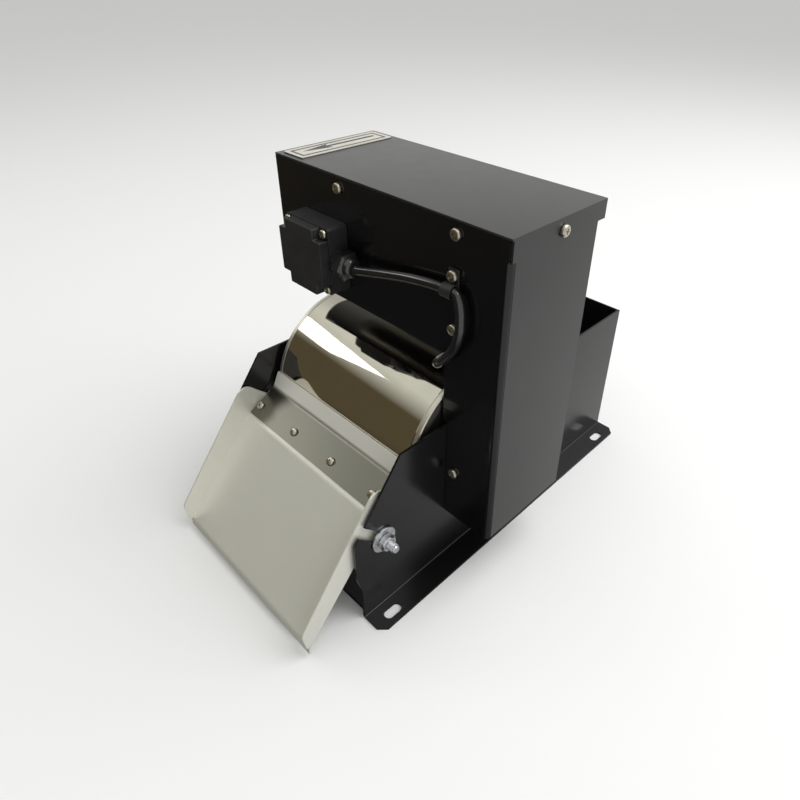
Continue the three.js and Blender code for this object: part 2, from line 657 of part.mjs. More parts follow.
const LID_NOTCH = 9;

const terminalLid = () => alongY(
  notchedSquare(TERMINAL.width / 2, TERMINAL.height / 2, LID_NOTCH),
  -TERMINAL.depth, -(TERMINAL.depth - TERMINAL.lid) - GAP);

function terminalScrews() {
  const screw = panScrew(4, 2.8, 2, 0.6);
  const [reachX, reachZ] = [TERMINAL.width / 2 - 4.4, TERMINAL.height / 2 - 4.4];
  const y = -(TERMINAL.depth - TERMINAL.lid) - 0.9;
  const corners = [[1, 1], [1, -1], [-1, 1], [-1, -1]];
  return corners.map(([sx, sz]) => (
    placed(screw, TO_FRONT, TERMINAL.x + sx * reachX, y, TERMINAL.z + sz * reachZ)));
}

const GLAND = { y: -11.5, x: TERMINAL.x + TERMINAL.width / 2 + 0.5 + GAP };

function glandBody() {
  const x = GLAND.x;
  return combine([
    alongX(hexagon(GLAND.y, TERMINAL.z, 19, Math.PI / 6), x, x + 5),
    rodX(GLAND.y, TERMINAL.z, 7.5, x + 4, x + 9, 24),
  ], [rodX(GLAND.y, TERMINAL.z, CABLE_R + GAP, x - 1, x + 10, 20)]);
}

function glandNut() {
  const x = GLAND.x + 9 + GAP;
  return combine([
    alongX(hexagon(GLAND.y, TERMINAL.z, 22, Math.PI / 6), x - 4, x + 7),
    rodX(GLAND.y, TERMINAL.z, 8.5, x + 6, x + 12, 24),
  ], [
    rodX(GLAND.y, TERMINAL.z, 7.5 + GAP, x - 5, x, 24),
    rodX(GLAND.y, TERMINAL.z, CABLE_R + GAP, x - 5, x + 13, 20),
  ]);
}

const CABLE_R = 4;
const CLIP = { x: 104.5, y: -6.2, z: 288.3, screwZ: 298.5 };
const CABLE_ROUTE = [
  [GLAND.x + 2, GLAND.y, TERMINAL.z], [-4, GLAND.y, TERMINAL.z], [7, -11.4, 272.1],
  [20, -10.4, 274.6], [40, -9, 279.2], [64, -7.5, 284.2], [86, -6.6, 287.4],
  [CLIP.x - 5, CLIP.y, CLIP.z], [CLIP.x + 5.5, CLIP.y, CLIP.z], [114, -6.5, 284.6],
  [116.6, -7, 277], [117.4, -7.4, 268.5], [117.2, -7.7, 259], [114, -8, 247], [106.5, -8, 234],
  [97, -7, 223.5], [91, -2.5, 218.5], [89, 4, 217], [89, 14, 217], [89, 40, 216], [89, 96, 216],
];

function motorCable() {
  const route = new THREE.CatmullRomCurve3(CABLE_ROUTE.map((p) => new THREE.Vector3(...p)));
  const section = new THREE.Shape().absarc(0, 0, CABLE_R, 0, 2 * Math.PI);
  return new THREE.ExtrudeGeometry(section, {
    steps: 60, curveSegments: 5, bevelEnabled: false, extrudePath: route,
  });
}

// band round the cable with a tab that the screw goes through
function cableClip() {
  const outer = CABLE_R + 2 * GAP + 1.3;
  const band = rodX(CLIP.y, CLIP.z, outer, CLIP.x - 5, CLIP.x + 5, 16);
  const tab = block(
    CLIP.x - 5, CLIP.y + outer - 2, CLIP.z, CLIP.x + 5, CLIP.y + outer - 0.2, CLIP.screwZ + 5.5);
  return combine([band, tab], [
    rodX(CLIP.y, CLIP.z, CABLE_R + 2 * GAP, CLIP.x - 6, CLIP.x + 6, 16),
    alongY(circle(CLIP.x, CLIP.screwZ, 2.8), -9, 1),
  ]);
}

// ---------- screws ----------
const M5 = { headR: 4.75, head: 3.3, shankR: 2.4 };
const coverScrew = () => panScrew(M5.headR, M5.head, M5.shankR, 0.1);

function coverScrews() {
  const front = [[-24.5, 329.3], [104.5, 329.3], [104.5, 253.6], [110.4, 111.7]];
  const back = [[-60, 318], [136, 318], [136, 80]];
  return [
    ...front.map(([x, z]) => placed(coverScrew(), TO_FRONT, x, -0.4, z)),
    placed(coverScrew(), TO_RIGHT, COVER.right + 0.4, 57.4, 330),
    ...back.map(([x, z]) => placed(coverScrew(), TO_BACK, x, COVER_BACK + 0.1, z)),
  ];
}

const clipScrew = () => placed(
  coverScrew(), TO_FRONT, CLIP.x, CLIP.y + CABLE_R - 0.5, CLIP.screwZ);

// ---------- chute ----------
const PAN_LINE = [[-153, 5], [-152.5, 13.3], [-75.5, 99.3], [-48, 115]];
const FLANGE_OUTLINE = [
  [-50, 112], [-60, 121.5], [-71, 132.5], [-80, 131.5], [-157.5, 33], [-154, 11.5],
  [-97, 74], [-87, 74], [-80, 69.5], [-66, 69.5], [-57, 86], [-52, 100],
];

function chutePan() {
  const line = roundCorners(PAN_LINE, 2.5);
  const outline = roundCorners(FLANGE_OUTLINE, 4.5, true);
  const pan = alongX(strip(line, CHUTE_SHEET), -CHUTE_OUT, CHUTE_OUT);
  const flange = alongX(polygon(outline), CHUTE_OUT - CHUTE_SHEET, CHUTE_OUT);
  return combine([pan, flange, mirrorX(flange)]);
}

// blade lying on the head of the pan, its tip turned up against the drum
const BLADE_HALF = CHUTE_OUT - CHUTE_SHEET - 0.8;
const BLADE_LINE = [[-73.5, 102.3], [-44.6, 118.8], [-37.1, 134]];

const scraperBlade = () => alongX(
  strip(roundCorners(BLADE_LINE, 1.5), 1.2), -BLADE_HALF, BLADE_HALF);

function bladeScrews() {
  const [[y0, z0], [y1, z1]] = BLADE_LINE;
  const slope = new THREE.Euler(Math.atan2(z1 - z0, y1 - y0), 0, 0);
  const [y, z] = [y0 + 0.33 * (y1 - y0), z0 + 0.33 * (z1 - z0)];
  const screw = panScrew(3.9, 2.5, 1.9, 0.1).translate(0, 0, 0.4);
  return [0, 1, 2, 3].map((i) => placed(screw, slope, -89.5 + i * 55.6, y, z));
}

const WASHER_IN = TANK_OUT + GAP;
const NUT_IN = WASHER_IN + 2 + GAP;

const pivotStud = () => rodX(PIVOT.y, PIVOT.z, PIVOT.r, CHUTE_OUT + GAP, 118, 24);

const pivotWasher = () => ring(
  12, PIVOT.r + GAP, WASHER_IN, WASHER_IN + 2, PIVOT.y, PIVOT.z, 16);

function pivotNut() {
  const nut = hexagon(PIVOT.y, PIVOT.z, 13, 0.2);
  nut.holes.push(circle(PIVOT.y, PIVOT.z, PIVOT.r + GAP));
  return alongX(nut, NUT_IN, NUT_IN + 6.5, 8);
}

// ---------- assembly ----------
const numbered = (name, geometries, finish) => (
  geometries.map((geometry, i) => [`${name}_${i + 1}`, geometry, finish]));

const leftAndRight = (name, geometry, finish) => [
  [`${name}_right`, geometry, finish],
  [`${name}_left`, mirrorX(geometry), finish],
];

const SUB_PARTS = [
  ["side_plate_right", sidePlate(26), "blackCoat"],
  ["side_plate_left", mirrorX(sidePlate(SHAFT_R + 0.6)), "blackCoat"],
  ["front_wall", frontWall(), "blackCoat"],
  ["rear_wall", rearWall(), "blackCoat"],
  ["bottom_plate", bottomPlate(), "blackCoat"],
  ["inlet_weir", inletWeir(), "blackCoat"],
  ["drum_trough", drumTrough(), "steel"],
  ["fixed_shaft", fixedShaft(), "steel"],
  ["shaft_clamp", shaftClamp(), "cast"],
  ["bearing_housing", bearingHousing(), "cast"],
  ["magnet_yoke", magnetYoke(), "cast"],
  ["magnet_sector", magnetSector(), "magnet"],
  ["drum_shell", drumShell(), "polished"],
  ["drum_end_right", drumEnd(HUB_R + GAP), "steel"],
  ["drum_end_left", mirrorX(drumEnd(BUSH_R + GAP)), "steel"],
  ["drum_bush", drumBush(), "cast"],
  ["drum_hub", drumHub(), "steel"],
  ["drum_sprocket", drumSprocket(), "chain"],
  ["motor_sprocket", motorSprocket(), "chain"],
  ["output_shaft", outputShaft(), "steel"],
  ["drive_chain", driveChain(), "chain"],
  ["drive_bracket", driveBracket(), "blackCoat"],
  ["gearbox", gearbox(), "cast"],
  ["motor_stator", motorStator(), "motorBlack"],
  ["motor_end_cap", motorEndCap(), "motorBlack"],
  ["hood", hood(), "blackCoat"],
  ["front_plate", frontPlate(), "blackCoat"],
  ["back_plate", backPlate(), "blackCoat"],
  ["nameplate", nameplate(), "plate"],
  ["terminal_box", terminalBox(), "plastic"],
  ["terminal_lid", terminalLid(), "plastic"],
  ["gland_body", glandBody(), "plastic"],
  ["gland_nut", glandNut(), "plastic"],
  ["motor_cable", motorCable(), "cable"],
  ["cable_clip", cableClip(), "plastic"],
  ["clip_screw", clipScrew(), "zinc"],
  ["chute_pan", chutePan(), "steel"],
  ["scraper_blade", scraperBlade(), "steel"],
  ...leftAndRight("pivot_stud", pivotStud(), "zinc"),
  ...leftAndRight("pivot_washer", pivotWasher(), "zinc"),
  ...leftAndRight("pivot_nut", pivotNut(), "zinc"),
  ...numbered("blade_screw", bladeScrews(), "zinc"),
  ...numbered("terminal_screw", terminalScrews(), "zinc"),
  ...numbered("cover_screw", coverScrews(), "zinc"),
];

const separator = new THREE.Group();
for (const [name, geometry, finish] of SUB_PARTS) {
  const mesh = new THREE.Mesh(geometry, new THREE.MeshStandardMaterial(FINISH[finish]));
  mesh.name = name;
  separator.add(mesh);
}

// the middle of the outline goes over the origin, the feet stay at z = 0
const middle = new THREE.Box3().setFromObject(separator).getCenter(new THREE.Vector3());
separator.position.set(-middle.x, -middle.y, 0);

export default separator;
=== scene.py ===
"""Drum-type magnetic coolant separator: materials, detailed small pieces, light and camera."""
import math

import bmesh
import bpy
from mathutils import Matrix, Vector


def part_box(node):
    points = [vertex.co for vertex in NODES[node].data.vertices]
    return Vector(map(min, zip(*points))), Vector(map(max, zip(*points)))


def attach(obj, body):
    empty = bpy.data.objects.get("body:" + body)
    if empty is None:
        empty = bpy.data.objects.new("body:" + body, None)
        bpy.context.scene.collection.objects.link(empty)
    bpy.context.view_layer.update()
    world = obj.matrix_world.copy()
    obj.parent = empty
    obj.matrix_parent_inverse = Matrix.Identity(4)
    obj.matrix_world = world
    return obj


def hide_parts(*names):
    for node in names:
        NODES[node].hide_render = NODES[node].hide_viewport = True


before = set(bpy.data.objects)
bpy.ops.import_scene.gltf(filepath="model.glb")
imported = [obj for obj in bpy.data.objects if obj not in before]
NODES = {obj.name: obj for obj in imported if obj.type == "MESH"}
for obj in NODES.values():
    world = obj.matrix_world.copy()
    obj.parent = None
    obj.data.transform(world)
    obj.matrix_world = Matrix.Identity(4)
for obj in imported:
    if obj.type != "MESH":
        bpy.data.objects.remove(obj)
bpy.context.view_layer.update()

BASE = "tank_and_cover"
DRUM = "drum"
CHUTE = "chute"
MM = 0.001

# ---------- driving dimensions, metres ----------
CABLE_R = 4 * MM
THREAD_PITCH = 1.25 * MM
EDGE = 0.35 * MM  # rounding left on sheet metal edges
NUT_ACROSS = 13 * MM  # pivot nuts, M8

# shaft clamp and drive bracket
CLAMP_FLANGE = 5 * MM  # thickness
CLAMP_BOLT_CIRCLE = 22.3 * MM  # radius
BRACKET_SHEET = 3 * MM
BRACKET_SIDE = 7 * MM  # from its upright edges to the bolts beside them
BRACKET_FOOT = 8 * MM  # from its bottom edge to the lowest pair
BRACKET_MIDDLE = 150 * MM  # height of the upper pair above the feet
GEARBOX_BOLTS = 31 * MM  # from the output shaft, both ways

# drum
SHELL_WALL = 2 * MM
SHELL_CHAMFER = 0.2 * MM
RIM = 4.5 * MM  # width of a disc's rim beside the shell
DISC_STEP = 1.5 * MM  # depth of the recess in a disc's face
DISC_BORES = {"right": 17.6 * MM, "left": 16.2 * MM}

# position and turn of the camera
CAMERA_AT = (0.35415, -0.35504, 0.4947)
CAMERA_AZIMUTH = 43.4
CAMERA_ELEVATION = 32.64
CAMERA_ROLL = 1.25
CAMERA_LENS = 28.1
CAMERA_SHIFT = (-0.0494, -0.0698)

# brightness of the room on each side
ROOM_FRONT = (0.098, 0.08, 0.047)
ROOM_FRONT_LOW = (0.04, 0.04, 0.042)
ROOM_REAR = (1.1, 1.1, 1.07)
ROOM_REAR_HIGH = (0.5, 0.5, 0.5)
ROOM_ABOVE = (0.76, 0.78, 0.73)
ROOM_RIGHT = (0.72, 0.72, 0.71)
ROOM_RIGHT_LOW = (0.12, 0.12, 0.12)
BACKDROP = (0.64, 0.64, 0.63)


# ---------- materials ----------
class Surface:
    """A principled material and the texture nodes that feed it."""

    def __init__(self, name, colour, roughness, metallic=0.0):
        self.material = bpy.data.materials.new(name)
        self.material.use_nodes = True
        self.tree = self.material.node_tree
        self.shader = self.tree.nodes["Principled BSDF"]
        self.shader.inputs["Metallic"].default_value = metallic
        self.shader.inputs["Roughness"].default_value = roughness
        self.shader.inputs["Base Color"].default_value = (*colour, 1)
        self.colour = colour
        self.place = self.node("ShaderNodeTexCoord").outputs["Object"]
        self.bump_end = None

    def node(self, kind, **settings):
        """A new texture node with the given settings."""
        made = self.tree.nodes.new(kind)
        for key, value in settings.items():
            setattr(made, key, value)
        return made

    def link(self, output, socket):
        self.tree.links.new(output, socket)

    def noise(self, per_metre, detail=3.0, stretch=(1, 1, 1), rough=0.55):
        """Cloudy noise with that many waves to the metre, times stretch along each axis."""
        mapping = self.node("ShaderNodeMapping")
        mapping.inputs["Scale"].default_value = [per_metre * s for s in stretch]
        self.link(self.place, mapping.inputs["Vector"])
        noise = self.node("ShaderNodeTexNoise")
        noise.inputs["Scale"].default_value = 1.0
        noise.inputs["Detail"].default_value = detail
        noise.inputs["Roughness"].default_value = rough
        self.link(mapping.outputs["Vector"], noise.inputs["Vector"])
        return noise.outputs["Fac"]

    def spread(self, value, low, high, start=0.3, end=0.7):
        """value from start..end mapped to low..high"""
        mapped = self.node("ShaderNodeMapRange")
        self.link(value, mapped.inputs["Value"])
        mapped.inputs["From Min"].default_value = start
        mapped.inputs["From Max"].default_value = end
        mapped.inputs["To Min"].default_value = low
        mapped.inputs["To Max"].default_value = high
        return mapped.outputs["Result"]

    def vary_colour(self, value, other, start=0.35, end=0.65):
        """Blends the colour into the other one as value goes from start to end."""
        mix = self.node("ShaderNodeMix", data_type="RGBA")
        self.link(self.spread(value, 0.0, 1.0, start, end), mix.inputs["Factor"])
        mix.inputs["A"].default_value = (*self.colour, 1)
        mix.inputs["B"].default_value = (*other, 1)
        self.link(mix.outputs["Result"], self.shader.inputs["Base Color"])

    def vary_roughness(self, value, low, high):
        """Lets the roughness follow value."""
        self.link(self.spread(value, low, high), self.shader.inputs["Roughness"])

    def bump(self, value, depth, strength=1.0):
        """Adds relief of that depth on top of any bump already there."""
        bump = self.node("ShaderNodeBump")
        bump.inputs["Strength"].default_value = strength
        bump.inputs["Distance"].default_value = depth
        self.link(value, bump.inputs["Height"])
        if self.bump_end is not None:
            self.link(self.bump_end, bump.inputs["Normal"])
        self.bump_end = bump.outputs["Normal"]
        self.link(self.bump_end, self.shader.inputs["Normal"])


def powder_coat(name, colour, roughness, peel):
    """Baked black paint: orange peel, slight haze and dust."""
    surface = Surface(name, colour, roughness)
    surface.vary_colour(surface.noise(35, 4), [c * 1.25 for c in colour], 0.35, 0.8)
    surface.vary_roughness(surface.noise(70, 5), roughness * 0.94, roughness * 1.07)
    surface.bump(surface.noise(420, 2), peel)
    surface.bump(surface.noise(2600, 1), peel * 0.15)
    return surface.material


def brushed(name, colour, roughness, along, depth=0.006 * MM):
    """Ground or brushed metal, its grain along the given axis."""
    surface = Surface(name, colour, roughness, 1.0)
    fine = [2600.0, 2600.0, 2600.0]
    fine["XYZ".index(along)] = 45.0
    grain = surface.noise(1.0, 3, fine)
    surface.vary_colour(grain, [c * 0.86 for c in colour], 0.3, 0.7)
    surface.vary_roughness(surface.noise(30, 4), roughness * 0.85, roughness * 1.18)
    surface.bump(grain, depth)
    surface.shader.inputs["Anisotropic"].default_value = 0.35
    return surface.material


def ground_blade(name, colour, roughness, tip_highlight_colour, tip_roughness, bend):
    """Ground blade whose colour is painted light: dark below the bend as painted shade, pale in the
    tip strip as a painted highlight. bend is the share of its height below the tip.
    """
    surface = Surface(name, colour, roughness, 1.0)
    height = surface.node("ShaderNodeSeparateXYZ")
    surface.link(surface.node("ShaderNodeTexCoord").outputs["Generated"], height.inputs["Vector"])
    start, end = bend - 0.02, bend + 0.1
    # painted light: colour goes from painted shade below the bend to a painted highlight on the tip
    # strip
    surface.vary_colour(height.outputs["Z"], tip_highlight_colour, start, end)
    rough = surface.spread(height.outputs["Z"], roughness, tip_roughness, start, end)
    bare = surface.spread(height.outputs["Z"], 1.0, 0.4, start, end)
    surface.link(rough, surface.shader.inputs["Roughness"])
    surface.link(bare, surface.shader.inputs["Metallic"])
    surface.bump(surface.noise(1.0, 3, (45, 2600, 2600)), 0.008 * MM)
    return surface.material


def satin_sheet(name, colour, roughness):
    """Cold rolled stainless sheet: even satin with a faint cloudy grain and fine lines."""
    surface = Surface(name, colour, roughness, 0.45)
    surface.vary_colour(surface.noise(14, 4), [c * 0.97 for c in colour], 0.35, 0.7)
    grain = surface.noise(1.0, 4, (25, 300, 300))
    surface.vary_roughness(grain, roughness * 0.95, roughness * 1.06)
    surface.bump(surface.noise(1.0, 2, (180, 2400, 2400)), 0.004 * MM)
    surface.bump(surface.noise(1900, 2), 0.003 * MM)
    return surface.material


def polished(name, colour, roughness):
    """Mirror-polished drum with fine rubbing marks round it."""
    surface = Surface(name, colour, roughness, 1.0)
    marks = surface.noise(1.0, 4, (2200, 30, 30))
    surface.vary_colour(surface.noise(22, 4), [c * 0.9 for c in colour], 0.45, 0.8)
    surface.vary_roughness(marks, roughness * 0.6, roughness * 1.9)
    surface.bump(marks, 0.0004 * MM)
    surface.bump(surface.noise(16, 2), 0.03 * MM, 0.35)
    return surface.material


def plated(name, colour, stain, roughness):
    """Zinc plated fasteners, mottled with a duller tone."""
    surface = Surface(name, colour, roughness, 1.0)
    surface.vary_colour(surface.noise(320, 4), stain, 0.4, 0.75)
    surface.vary_roughness(surface.noise(700, 3), roughness * 0.7, roughness * 1.5)
    surface.bump(surface.noise(1500, 2), 0.01 * MM)
    return surface.material


def moulded(name, colour, roughness, grain, shine=0.5):
    """Moulded plastic with a fine spark-eroded grain."""
    surface = Surface(name, colour, roughness)
    surface.shader.inputs["Specular IOR Level"].default_value = shine
    surface.vary_colour(surface.noise(60, 3), [c * 1.35 for c in colour])
    surface.vary_roughness(surface.noise(240, 3), roughness * 0.9, roughness * 1.15)
    surface.bump(surface.noise(1500, 2), grain)
    return surface.material


def rough_metal(name, colour, roughness, metallic, grain, size):
    """Castings, magnets and oiled steel."""
    surface = Surface(name, colour, roughness, metallic)
    surface.vary_colour(surface.noise(120, 5), [c * 0.65 for c in colour])
    surface.vary_roughness(surface.noise(90, 4), roughness * 0.85, roughness * 1.15)
    surface.bump(surface.noise(size, 3), grain)
    return surface.material


MATERIALS = {
    # cover paint: the rougher finish is its own; its colour is raised above the front plate's black
    # as painted light for the lit lid and right wall
    "cover_coat": powder_coat("cover_coat", (0.02, 0.02, 0.0205), 0.3, 0.02 * MM),
    "front_coat": powder_coat("front_coat", (0.004, 0.004, 0.0045), 0.13, 0.012 * MM),
    "tank_coat": powder_coat("tank_coat", (0.006, 0.006, 0.0065), 0.2, 0.015 * MM),
    "stainless_sheet": satin_sheet("stainless_sheet", (0.82, 0.815, 0.74), 0.42),
    # blade: one bent steel strip, dark below the bend as painted shade and pale at the tip as a
    # painted highlight
    "blade": ground_blade("blade", (0.19, 0.186, 0.156), 0.32, (0.93, 0.92, 0.86), 0.5, 0.52),
    "turned_steel": brushed("turned_steel", (0.68, 0.65, 0.58), 0.3, "X", 0.004 * MM),
    "polished_stainless": polished("polished_stainless", (0.72, 0.68, 0.59), 0.045),
    "drum_rim": brushed("drum_rim", (0.78, 0.75, 0.66), 0.38, "Y", 0.002 * MM),
    "zinc_plate": plated("zinc_plate", (0.62, 0.59, 0.5), (0.5, 0.45, 0.33), 0.27),
    "pivot_zinc": plated("pivot_zinc", (0.78, 0.79, 0.82), (0.52, 0.52, 0.54), 0.3),
    "cast_iron": rough_metal("cast_iron", (0.07, 0.075, 0.08), 0.55, 0.3, 0.06 * MM, 500),
    "gearbox_aluminium": rough_metal(
        "gearbox_aluminium", (0.4, 0.4, 0.41), 0.42, 0.9, 0.03 * MM, 800),
    "bearing_bronze": brushed("bearing_bronze", (0.5, 0.31, 0.12), 0.35, "X"),
    "magnet": rough_metal("magnet", (0.06, 0.055, 0.05), 0.6, 0.3, 0.04 * MM, 900),
    "chain_steel": rough_metal("chain_steel", (0.16, 0.14, 0.12), 0.35, 0.9, 0.02 * MM, 900),
    "motor_paint": powder_coat("motor_paint", (0.012, 0.012, 0.013), 0.4, 0.02 * MM),
    "black_plastic": moulded("black_plastic", (0.017, 0.017, 0.018), 0.4, 0.015 * MM),
    "gland_nylon": moulded("gland_nylon", (0.008, 0.008, 0.009), 0.18, 0.004 * MM, 1.0),
    "cable_jacket": moulded("cable_jacket", (0.007, 0.007, 0.008), 0.16, 0.0008 * MM, 1.0),
    "nameplate": brushed("nameplate", (0.86, 0.83, 0.75), 0.42, "Y"),
    "nameplate_ink": moulded("nameplate_ink", (0.02, 0.02, 0.022), 0.4, 0.005 * MM),
}

# CAD nodes that keep their own shape, and what they are made of
KEPT = {
    "cover_coat": ["hood"],
    "front_coat": ["front_plate"],
    "tank_coat": [
        "side_plate_right", "side_plate_left", "front_wall", "rear_wall", "bottom_plate",
        "inlet_weir", "back_plate", "drive_bracket",
    ],
    "stainless_sheet": ["chute_pan", "drum_trough"],
    "blade": ["scraper_blade"],
    "turned_steel": ["fixed_shaft", "drum_hub", "output_shaft"],
    "cast_iron": ["shaft_clamp", "bearing_housing", "magnet_yoke"],
    "gearbox_aluminium": ["gearbox"],
    "bearing_bronze": ["drum_bush"],
    "magnet": ["magnet_sector"],
    "chain_steel": ["drum_sprocket", "motor_sprocket", "drive_chain"],
    "motor_paint": ["motor_stator", "motor_end_cap"],
    "black_plastic": ["terminal_box", "terminal_lid", "cable_clip"],
    "gland_nylon": ["gland_body"],
}
BEVELS = {
    "terminal_box": 1.0 * MM,
    "terminal_lid": 1.1 * MM,
    "hood": 0.5 * MM,
    "cable_clip": 0.3 * MM,
}
NOT_BEVELLED = {"drive_chain", "magnet_sector"}


def dress(node, material):
    """Gives a CAD node its material, soft edges and smooth round faces."""
    shown = NODES[node]
    shown.data.materials.clear()
    shown.data.materials.append(MATERIALS[material])
    shown.data.shade_smooth()
    weld = shown.modifiers.new("weld", "WELD")
    weld.merge_threshold = 0.002 * MM
    if node not in NOT_BEVELLED:
        bevel = shown.modifiers.new("bevel", "BEVEL")
        bevel.width = BEVELS.get(node, EDGE)
        bevel.segments = 2
        bevel.limit_method = "ANGLE"
        bevel.angle_limit = math.radians(40)
        bevel.harden_normals = False
    weighted = shown.modifiers.new("weighted", "WEIGHTED_NORMAL")
    weighted.keep_sharp = False
    weighted.weight = 100


# ---------- mesh helpers ----------
def add_piece(name, mesh, material, body, matrix=None):
    """Puts a mesh into the scene and makes it ride on a body."""
    piece = bpy.data.objects.new(name, mesh)
    bpy.context.scene.collection.objects.link(piece)
    if matrix is not None:
        piece.matrix_world = matrix
    if not mesh.materials:
        mesh.materials.append(MATERIALS[material])
    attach(piece, body)
    return piece


def mesh_from(bm, name, sharp=35):
    """Finished mesh of bm, smooth except where it turns by more than sharp degrees."""
    bmesh.ops.remove_doubles(bm, verts=bm.verts, dist=1e-7)
    bmesh.ops.recalc_face_normals(bm, faces=bm.faces)
    mesh = bpy.data.meshes.new(name)
    bm.to_mesh(mesh)
    bm.free()
    mesh.shade_smooth()
    mesh.set_sharp_from_angle(angle=math.radians(sharp))
    return mesh


def turned(name, profile, segments=96, radius_at=None, sharp=35):
    """A solid turned about local Z from (z, r) points. radius_at(angle) can cut flats on it."""
    bm = bmesh.new()
    rings = []
    for z, r in profile:
        ring = []
        for i in range(segments):
            angle = 2 * math.pi * i / segments
            limit = r if radius_at is None else min(r, radius_at(angle))
            ring.append(bm.verts.new((limit * math.cos(angle), limit * math.sin(angle), z)))
        rings.append(ring)
    for low, high in zip(rings, rings[1:]):
        for i in range(segments):
            j = (i + 1) % segments
            bm.faces.new((low[i], low[j], high[j], high[i]))
    closed = profile[0] == profile[-1]
    if not closed:
        bm.faces.new(rings[0])
        bm.faces.new(rings[-1])
    return mesh_from(bm, name, sharp)


def flats(across, sides=6):
    """Radius of a regular bar of that width across its flats, by angle."""
    step = 2 * math.pi / sides
    return lambda angle: across / 2 / math.cos((angle % step) - step / 2)


def facing(direction, at):
    """Turns local +Z to the direction and moves the origin to at."""
    turn = Vector((0, 0, 1)).rotation_difference(Vector(direction))
    return Matrix.Translation(Vector(at)) @ turn.to_matrix().to_4x4()


def prism_mesh(name, outline, depth, holes=()):
    """A flat outline in local XY, from z 0 to depth."""
    curve = bpy.data.curves.new(name, "CURVE")
    curve.dimensions = "2D"
    curve.fill_mode = "BOTH"
    curve.extrude = depth / 2
    for points in [outline, *holes]:
        spline = curve.splines.new("POLY")
        spline.points.add(len(points) - 1)
        for point, (x, y) in zip(spline.points, points):
            point.co = (x, y, 0, 1)
        spline.use_cyclic_u = True
    holder = bpy.data.objects.new(name + "_outline", curve)
    bpy.context.scene.collection.objects.link(holder)
    mesh = bpy.data.meshes.new_from_object(holder)
    bpy.data.objects.remove(holder)
    bpy.data.curves.remove(curve)
    mesh.transform(Matrix.Translation((0, 0, depth / 2)))
    mesh.name = name
    return mesh


def rectangle(x0, y0, x1, y1):
    """Corners of an upright rectangle."""
    return [(x0, y0), (x1, y0), (x1, y1), (x0, y1)]


def centre(node):
    """Middle of a node's box."""
    low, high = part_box(node)
    return (low + high) / 2


# ---------- fasteners ----------
def pan_head(name, radius, height):
    """Pan head with a cross recess, its underside at local z 0."""
    profile = [(0, radius * 0.9), (height * 0.05, radius)]
    for i in range(1, 9):
        angle = math.radians(90 * i / 8)
        r = radius * (0.62 + 0.38 * math.cos(angle))
        profile.append((height * (0.35 + 0.55 * math.sin(angle)), r))
    profile += [(height * 0.97, radius * 0.3), (height, radius * 0.02)]
    head = bpy.data.objects.new(name, turned(name, profile, 48, sharp=50))
    bpy.context.scene.collection.objects.link(head)
    reach, width, deep = radius * 0.62, radius * 0.17, height * 0.6
    cutters = []
    for turn in (0, 90):
        bar = prism_mesh("recess", rectangle(-reach, -width, reach, width), deep * 2)
        for vertex in bar.vertices:
            if vertex.co.z < deep:
                vertex.co.x *= 0.55
                vertex.co.y *= 0.6
        cutter = bpy.data.objects.new("recess", bar)
        cutter.matrix_world = (
            Matrix.Translation((0, 0, height - deep)) @ Matrix.Rotation(math.radians(turn), 4, "Z"))
        bpy.context.scene.collection.objects.link(cutter)
        cutters.append(cutter)
        cut = head.modifiers.new("recess", "BOOLEAN")
        cut.operation = "DIFFERENCE"
        cut.solver = "EXACT"
        cut.object = cutter
    bpy.context.view_layer.update()
    evaluated = head.evaluated_get(bpy.context.evaluated_depsgraph_get())
    mesh = bpy.data.meshes.new_from_object(evaluated)
    mesh.name = name
    mesh.shade_smooth()
    mesh.set_sharp_from_angle(angle=math.radians(38))
    for used in [head, *cutters]:
        bpy.data.objects.remove(used)
    return mesh


def outward(node, body_centre):
    """Axis of a thin round node, pointing away from body_centre."""
    low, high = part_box(node)
    size = high - low
    axis = min(range(3), key=lambda k: size[k])
    direction = Vector((0, 0, 0))
    direction[axis] = 1 if centre(node)[axis] > body_centre[axis] else -1
    return direction


def seat_of(node, direction):
    """Middle of the node's end that faces away from the direction."""
    low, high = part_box(node)
    middle = (low + high) / 2
    for k in range(3):
        if abs(direction[k]) > 0.5:
            middle[k] = low[k] if direction[k] > 0 else high[k]
    return middle


def screw_places():
    """Every screw node with its direction and the point under its head."""
    cover = centre("hood")
    flat = [f"cover_screw_{i}" for i in range(1, 9)] + ["clip_screw"]
    for node in flat:
        direction = outward(node, cover)
        yield node, direction, seat_of(node, direction) + direction * 0.1 * MM, BASE
    for i in range(1, 5):
        node = f"terminal_screw_{i}"
        direction = Vector((0, -1, 0))
        yield node, direction, seat_of(node, direction) + direction * 0.6 * MM, BASE
    slope = blade_slope()
    for i in range(1, 5):
        node = f"blade_screw_{i}"
        yield node, slope, centre(node) - slope * 1.0 * MM, CHUTE


def blade_slope():
    """Direction that the blade screws point, square to the flat of the blade."""
    heads = [centre("blade_screw_1"), centre("blade_screw_4")]
    blade_low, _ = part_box("scraper_blade")
    along = Vector((0, heads[0].y - blade_low.y, heads[0].z - blade_low.z)).normalized()
    return Vector((0, -along.z, along.y))


def add_screws():
    """Pan heads over the CAD ones, each turned a little differently."""
    sizes = {
        "cover": pan_head("pan_head_m5", 4.75 * MM, 3.2 * MM),
        "blade": pan_head("pan_head_m4", 3.9 * MM, 2.4 * MM),
    }
    sizes["clip"] = sizes["cover"]
    sizes["terminal"] = sizes["blade"]
    for count, (node, direction, seat, body) in enumerate(screw_places()):
        turn = Matrix.Rotation(math.radians(37 * count + 12), 4, "Z")
        mesh = sizes[node.split("_")[0]]
        piece = add_piece(
            node + "_head", mesh, "zinc_plate", body, facing(direction, seat) @ turn)
        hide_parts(node)


